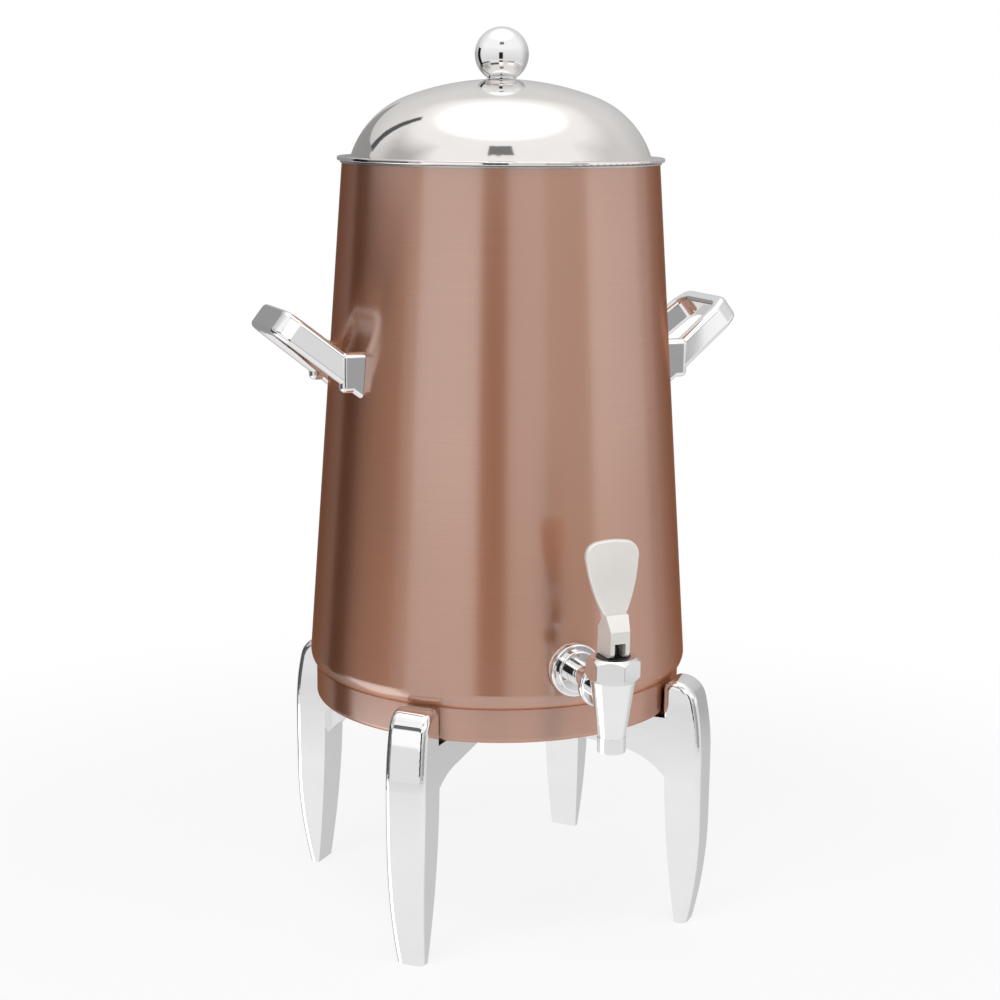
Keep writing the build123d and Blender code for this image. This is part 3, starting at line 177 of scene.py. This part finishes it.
class Nodes:
    """Small helper that builds the node tree of a material or a world."""

    def __init__(self, owner, shader="Principled BSDF"):
        owner.use_nodes = True
        self.owner = owner
        self.tree = owner.node_tree
        self.shader = self.tree.nodes[shader]

    def link(self, source, target):
        """Links a node's output to an input, or sets the input where the source is a plain value."""
        if isinstance(source, bpy.types.NodeSocket):
            self.tree.links.new(source, target)
        else:
            target.default_value = source

    def add(self, kind, **values):
        """Adds a node; values set its properties, or go to its inputs where it has no such property."""
        node = self.tree.nodes.new(kind)
        for key, value in values.items():
            if hasattr(node, key):
                setattr(node, key, value)
            else:
                self.link(value, node.inputs[key.replace("_", " ")])
        return node

    def set(self, **values):
        """Links or sets inputs of the main shader."""
        for key, value in values.items():
            self.link(value, self.shader.inputs[key.replace("_", " ")])

    def noise(self, scale, detail, stretch=(1, 1, 1), roughness=0.55):
        """Noise over the part's own coordinates, stretched along the axes."""
        place = self.add("ShaderNodeTexCoord")
        mapping = self.add("ShaderNodeMapping", Vector=place.outputs["Object"], Scale=stretch)
        noise = self.add("ShaderNodeTexNoise", Scale=scale, Detail=detail, Roughness=roughness)
        self.link(mapping.outputs["Vector"], noise.inputs["Vector"])
        return noise.outputs["Fac"]

    def ramp(self, value, stops):
        """Colour by a value; stops are pairs of position and colour, from low to high."""
        ramp = self.add("ShaderNodeValToRGB", Fac=value)
        elements = ramp.color_ramp.elements
        while len(elements) < len(stops):
            elements.new(1.0)
        for element, (position, colour) in zip(elements, stops):
            element.position = position
            element.color = colour
        return ramp.outputs["Color"]

    def tone(self, value, dark, light):
        """Colour between two tones, by a noise."""
        return self.ramp(value, ((NOISE_LOW, dark), (NOISE_HIGH, light)))

    def span(self, value, low, high):
        """Number between two limits, by a value from 0 to 1."""
        return self.add("ShaderNodeMapRange", Value=value, To_Min=low, To_Max=high).outputs["Result"]

    def maths(self, operation, first, second):
        """Result of an operation on two values, each a number or a node's output."""
        node = self.add("ShaderNodeMath", operation=operation)
        self.link(first, node.inputs[0])
        self.link(second, node.inputs[1])
        return node.outputs["Value"]

    def bump(self, height, strength, distance):
        """Bumps the main shader's surface by a height."""
        bump = self.add("ShaderNodeBump", Height=height, Strength=strength, Distance=distance)
        self.set(Normal=bump.outputs["Normal"])

    def mix(self, share, first, second):
        """Ends a material in a mix of two shaders, by the second one's share."""
        layers = self.add("ShaderNodeMixShader", Fac=share)
        self.link(first.outputs[0], layers.inputs[1])
        self.link(second.outputs[0], layers.inputs[2])
        self.link(layers.outputs["Shader"], self.tree.nodes["Material Output"].inputs["Surface"])


def material_nodes(name):
    """Nodes of a new material."""
    return Nodes(bpy.data.materials.new(name))


def add_object(name, data):
    """New object in the scene."""
    thing = bpy.data.objects.new(name, data)
    bpy.context.scene.collection.objects.link(thing)
    return thing


def brushed_copper():
    """Satin copper colour, brushed round the axis under a clear lacquer."""
    nodes = material_nodes("brushed_copper")
    lines = nodes.noise(scale=1.0, detail=4.0, stretch=BRUSH_STRETCH)
    patches = nodes.noise(scale=14.0, detail=2.0)
    tangent = nodes.add("ShaderNodeTangent", direction_type="RADIAL", axis="Z")
    nodes.set(Metallic=1.0, Base_Color=nodes.tone(lines, COPPER_DARK, COPPER_LIGHT))
    nodes.set(Specular_Tint=COPPER_EDGE, Roughness=nodes.span(patches, low=0.47, high=0.53))
    nodes.set(Tangent=tangent.outputs["Tangent"], Anisotropic=1.0, Anisotropic_Rotation=0.25)
    nodes.bump(lines, strength=0.05, distance=0.00006)
    lacquer = nodes.add("ShaderNodeBsdfPrincipled", Metallic=1.0, Base_Color=LACQUER,
                        Specular_Tint=LACQUER_EDGE, Roughness=nodes.span(patches, low=0.17, high=0.20))
    nodes.mix(LACQUER_SHARE, nodes.shader, lacquer)
    return nodes.owner


def polished(name, dark, light, roughness, wave_scale, wave_strength):
    """Polished metal with faint polishing marks and a slight waviness."""
    nodes = material_nodes(name)
    marks = nodes.noise(scale=60.0, detail=2.0)
    waves = nodes.noise(scale=wave_scale, detail=1.0)
    nodes.set(Metallic=1.0, Base_Color=nodes.tone(marks, dark, light))
    nodes.set(Roughness=nodes.span(marks, roughness * (1 - POLISH_SPREAD), roughness * (1 + POLISH_SPREAD)))
    nodes.bump(waves, strength=wave_strength, distance=0.001)
    return nodes.owner


def satin_steel():
    """Stainless sheet and fasteners with a fine grain."""
    nodes = material_nodes("satin_steel")
    grain = nodes.noise(scale=40.0, detail=6.0, stretch=GRAIN_STRETCH)
    nodes.set(Metallic=1.0, Base_Color=nodes.tone(grain, SATIN_DARK, SATIN_LIGHT))
    nodes.set(Roughness=nodes.span(grain, low=0.28, high=0.42))
    nodes.bump(grain, strength=0.1, distance=0.0001)
    return nodes.owner


def pearl_coat():
    """Satin pearl coat of the tap's lever."""
    nodes = material_nodes("pearl_coat")
    flakes = nodes.noise(scale=900.0, detail=2.0)
    clouds = nodes.noise(scale=30.0, detail=2.0)
    nodes.set(Metallic=0.35, Base_Color=nodes.tone(clouds, PEARL_DARK, PEARL_LIGHT))
    nodes.set(Roughness=nodes.span(flakes, low=0.28, high=0.36), Coat_Weight=0.3, Coat_Roughness=0.2)
    nodes.bump(flakes, strength=0.02, distance=0.00004)
    return nodes.owner


def moulded(name, dark, light, roughness):
    """Moulded plastic, rubber or cable cover with a fine grain."""
    nodes = material_nodes(name)
    grain = nodes.noise(scale=700.0, detail=3.0)
    clouds = nodes.noise(scale=25.0, detail=2.0)
    nodes.set(Base_Color=nodes.tone(clouds, dark, light))
    nodes.set(Roughness=nodes.span(grain, roughness - MOULD_SPREAD, roughness + MOULD_SPREAD))
    nodes.bump(grain, strength=0.25, distance=0.00006)
    return nodes.owner


def felt():
    """Pressed fibre mat."""
    nodes = material_nodes("felt")
    fibres = nodes.noise(scale=260.0, detail=8.0, roughness=0.75)
    nodes.set(Base_Color=nodes.tone(fibres, FELT_DARK, FELT_LIGHT), Roughness=0.95, Sheen_Weight=0.3)
    nodes.bump(fibres, strength=0.8, distance=0.001)
    return nodes.owner


# Materials, by the record's slots
MATERIALS = {
    "copper_finish": brushed_copper(),
    "polished_steel": polished(
        "polished_steel", STEEL_DARK, STEEL_LIGHT, roughness=0.07, wave_scale=9.0, wave_strength=0.02),
    "chrome_plate": polished(
        "chrome_plate", CHROME_DARK, CHROME_LIGHT, roughness=0.06, wave_scale=26.0, wave_strength=0.06),
    "stainless": satin_steel(),
    "pearl_coat": pearl_coat(),
    "felt": felt(),
}
for name, (dark, light, roughness) in MOULDED.items():
    MATERIALS[name] = moulded(name, dark, light, roughness)
for subpart in frame["record"]["subparts"]:
    mesh = frame["nodes"][subpart["node"]].data
    mesh.materials.clear()
    mesh.materials.append(MATERIALS[subpart["material_slot"]])


def coil(name, low, high):
    """Coil of round wire that fills a box, about the box's upright axis."""
    axis = (low + high) / 2
    radius = (high.x - low.x) / 2 - SPRING_WIRE
    rise = high.z - low.z - 2 * SPRING_WIRE
    rings = SPRING_TURNS * TURN_STEPS
    corners = []
    for ring in range(rings + 1):
        turn = 2 * pi * ring / TURN_STEPS
        outward = Vector((cos(turn), sin(turn), 0))
        middle = Vector((axis.x, axis.y, low.z + SPRING_WIRE + rise * ring / rings)) + outward * radius
        for side in range(WIRE_SIDES):
            angle = 2 * pi * side / WIRE_SIDES
            corners.append(middle + SPRING_WIRE * (outward * cos(angle) + Vector((0, 0, sin(angle)))))
    faces = [tuple(range(WIRE_SIDES)), tuple(reversed(range(rings * WIRE_SIDES, (rings + 1) * WIRE_SIDES)))]
    for ring in range(rings):
        for side in range(WIRE_SIDES):
            here = ring * WIRE_SIDES + side
            beside = ring * WIRE_SIDES + (side + 1) % WIRE_SIDES
            faces.append((here, here + WIRE_SIDES, beside + WIRE_SIDES, beside))
    mesh = bpy.data.meshes.new(name)
    mesh.from_pydata(corners, [], faces)
    for polygon in mesh.polygons:
        polygon.use_smooth = len(polygon.vertices) == 4
    return add_object(name, mesh)


# Tap spring: a coil in the same place as the solid one, which it replaces; it is fixed to the urn and doesn't
# shorten as the valve lifts
spring_low, spring_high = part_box("tap_spring")
spring = coil("tap_spring_coil", spring_low, spring_high)
spring.data.materials.append(MATERIALS["stainless"])
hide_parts("tap_spring")
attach(spring, "urn")
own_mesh(spring)


def point_axes(place, forward):
    """Matrix at a place whose -Z looks along forward, with +Y as far up as it can be."""
    back = -forward.normalized()
    right = Vector((0, 0, 1)).cross(back).normalized()
    turn = Matrix((right, back.cross(right), back)).transposed().to_4x4()
    return Matrix.Translation(place) @ turn


# Camera
camera = add_object("camera", bpy.data.cameras.new("camera"))
look = Vector((-sin(CAMERA_TURN) * cos(CAMERA_DIP), cos(CAMERA_TURN) * cos(CAMERA_DIP), -sin(CAMERA_DIP)))
camera.matrix_world = point_axes(CAMERA_PLACE, look) @ Matrix.Rotation(CAMERA_ROLL, 4, "Z")
camera.data.lens = CAMERA_LENS
camera.data.sensor_width = SENSOR_WIDTH
bpy.context.scene.camera = camera


def studio_place(azimuth, distance, height):
    """Place round the object, by an azimuth from the camera's own."""
    turn = CAMERA_TURN + radians(azimuth)
    return Vector((distance * sin(turn), -distance * cos(turn), height))


def for_mirrors(thing):
    """Keeps a studio piece to what polished surfaces show of it."""
    thing.visible_camera = False
    thing.visible_diffuse = False
    thing.visible_shadow = False


def glowing(name, colour):
    """Nodes of a material that only gives light."""
    nodes = material_nodes(name)
    nodes.set(Base_Color=BLACK, Specular_IOR_Level=0.0, Roughness=1.0, Emission_Strength=1.0)
    nodes.set(Emission_Color=colour)
    return nodes


def grey(shade):
    """Neutral colour of a shade."""
    return shade, shade, shade, 1


def tent_light():
    """Light of the tent, by height above the horizon in front and behind."""
    nodes = glowing("tent", WHITE)
    place = nodes.add("ShaderNodeTexCoord")
    parts = nodes.add("ShaderNodeSeparateXYZ", Vector=place.outputs["Object"])
    height = nodes.add("ShaderNodeMapRange", Value=parts.outputs["Z"],
                       From_Min=-TENT_RADIUS, From_Max=TENT_RADIUS)
    sides = []
    for stops in (TENT_FRONT, TENT_BEHIND):
        shades = [((sin(radians(degrees_up)) + 1) / 2, grey(shade)) for degrees_up, shade in stops]
        sides.append(nodes.ramp(height.outputs["Result"], shades))
    behind = nodes.add("ShaderNodeMapRange", interpolation_type="SMOOTHSTEP", Value=parts.outputs["Y"],
                       From_Min=TENT_BLEND[0] * TENT_RADIUS, From_Max=TENT_BLEND[1] * TENT_RADIUS)
    blend = nodes.add("ShaderNodeMix", data_type="RGBA", Factor=behind.outputs["Result"],
                      A=sides[0], B=sides[1])
    nodes.set(Emission_Color=blend.outputs["Result"])
    return nodes.owner


def tent():
    """White tent round the studio: bright overhead, darker behind the object than in front."""
    mesh = bpy.data.meshes.new("tent")
    shape = bmesh.new()
    bmesh.ops.create_uvsphere(shape, u_segments=48, v_segments=24, radius=TENT_RADIUS)
    shape.to_mesh(mesh)
    shape.free()
    mesh.materials.append(tent_light())
    dome = add_object("tent", mesh)
    dome.location = CENTRE
    dome.rotation_euler.z = CAMERA_TURN
    for_mirrors(dome)


def start_height(nodes):
    """Height at which the ray that meets a surface set out."""
    path = nodes.add("ShaderNodeLightPath")
    here = nodes.add("ShaderNodeNewGeometry")
    start = nodes.add("ShaderNodeVectorMath", operation="MULTIPLY_ADD")
    nodes.link(here.outputs["Incoming"], start.inputs[0])
    nodes.link(path.outputs["Ray Length"], start.inputs[1])
    nodes.link(here.outputs["Position"], start.inputs[2])
    parts = nodes.add("ShaderNodeSeparateXYZ", Vector=start.outputs["Vector"])
    return parts.outputs["Z"]


def card_light(name, shade, in_knob):
    """Light of a card, clear where its cover is 0 and, unless in_knob, to rays from the knob's height."""
    nodes = glowing(name, grey(shade))
    cover = nodes.add("ShaderNodeAttribute", attribute_name="cover").outputs["Fac"]
    if not in_knob:
        below = nodes.maths("LESS_THAN", start_height(nodes), knob_low.z)
        cover = nodes.maths("MULTIPLY", cover, below)
    nodes.mix(cover, nodes.add("ShaderNodeBsdfTransparent"), nodes.shader)
    return nodes.owner


def card(name, azimuths, heights, shade, soft=False, in_knob=False):
    """Upright curved card between two azimuths and two heights above the horizon, in degrees."""
    rows = SOFT_ROWS if soft else 1
    corners = []
    cover = []
    for step in range(CARD_STEPS + 1):
        azimuth = azimuths[0] + (azimuths[1] - azimuths[0]) * step / CARD_STEPS
        for row in range(rows + 1):
            height = heights[0] + (heights[1] - heights[0]) * row / rows
            corners.append(studio_place(azimuth, CARD_RADIUS, CENTRE.z + CARD_RADIUS * tan(radians(height))))
            inward = min(step / CARD_STEPS, 1 - step / CARD_STEPS, row / rows, 1 - row / rows)
            cover.append(min(1.0, inward / SOFT_EDGE) if soft else 1.0)
    faces = []
    for step in range(CARD_STEPS):
        for row in range(rows):
            here = step * (rows + 1) + row
            faces.append((here, here + rows + 1, here + rows + 2, here + 1))
    mesh = bpy.data.meshes.new(name)
    mesh.from_pydata(corners, [], faces)
    mesh.attributes.new("cover", "FLOAT", "POINT").data.foreach_set("value", cover)
    mesh.materials.append(card_light(name, shade, in_knob))
    for_mirrors(add_object(name, mesh))


def softbox(name, azimuth, distance, height, width, tall, power):
    """Soft rectangular lamp that faces the object; mirrors show the cards instead."""
    lamp = bpy.data.lights.new(name, "AREA")
    lamp.shape = "RECTANGLE"
    lamp.size = width
    lamp.size_y = tall
    lamp.energy = power
    box = add_object(name, lamp)
    place = studio_place(azimuth, distance, height)
    box.matrix_world = point_axes(place, CENTRE - place)
    box.visible_camera = False
    box.visible_glossy = False


# Studio
knob_low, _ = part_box("lid_knob")
tent()
for name, azimuths, shade in STRIPS:
    card(f"{name}_high", azimuths, STRIP_HIGH, shade)
    card(f"{name}_low", azimuths, STRIP_LOW, shade * STRIP_FALL)
for name, azimuths, heights, shade in CARDS:
    card(name, azimuths, heights, shade, soft=name in SOFT_CARDS, in_knob=name in KNOB_CARDS)
for values in SOFTBOXES:
    softbox(*values)


def studio_world():
    """White behind the object, with a lower level for the light it gives."""
    nodes = Nodes(bpy.data.worlds.new("studio"), "Background")
    path = nodes.add("ShaderNodeLightPath")
    nodes.set(Color=WHITE, Strength=nodes.span(path.outputs["Is Camera Ray"], low=WORLD_LEVEL, high=1.0))
    return nodes.owner


def floor_finish():
    """Pale floor that keeps the object's shadow and turns to the background's white further out."""
    nodes = material_nodes("floor")
    nodes.set(Base_Color=FLOOR_TONE, Roughness=0.9, Specular_IOR_Level=0.0)
    place = nodes.add("ShaderNodeTexCoord")
    reach = nodes.add("ShaderNodeVectorMath", operation="LENGTH", Vector=place.outputs["Object"])
    whiteness = nodes.add("ShaderNodeMapRange", interpolation_type="SMOOTHSTEP", Value=reach.outputs["Value"],
                          From_Min=SHADOW_REACH, From_Max=WHITE_REACH, To_Min=NEAR_GLOW)
    path = nodes.add("ShaderNodeLightPath")
    shown = nodes.maths("MULTIPLY", path.outputs["Is Camera Ray"], whiteness.outputs["Result"])
    nodes.mix(shown, nodes.shader, nodes.add("ShaderNodeEmission"))
    return nodes.owner


# World and floor
bpy.context.scene.world = studio_world()
half = FLOOR_SIZE / 2
floor_mesh = bpy.data.meshes.new("floor")
floor_corners = [(-half, -half, 0), (half, -half, 0), (half, half, 0), (-half, half, 0)]
floor_mesh.from_pydata(floor_corners, [], [(0, 1, 2, 3)])
floor_mesh.materials.append(floor_finish())
floor = add_object("floor", floor_mesh)
floor.visible_glossy = False

bpy.context.scene.view_settings.view_transform = "Standard"
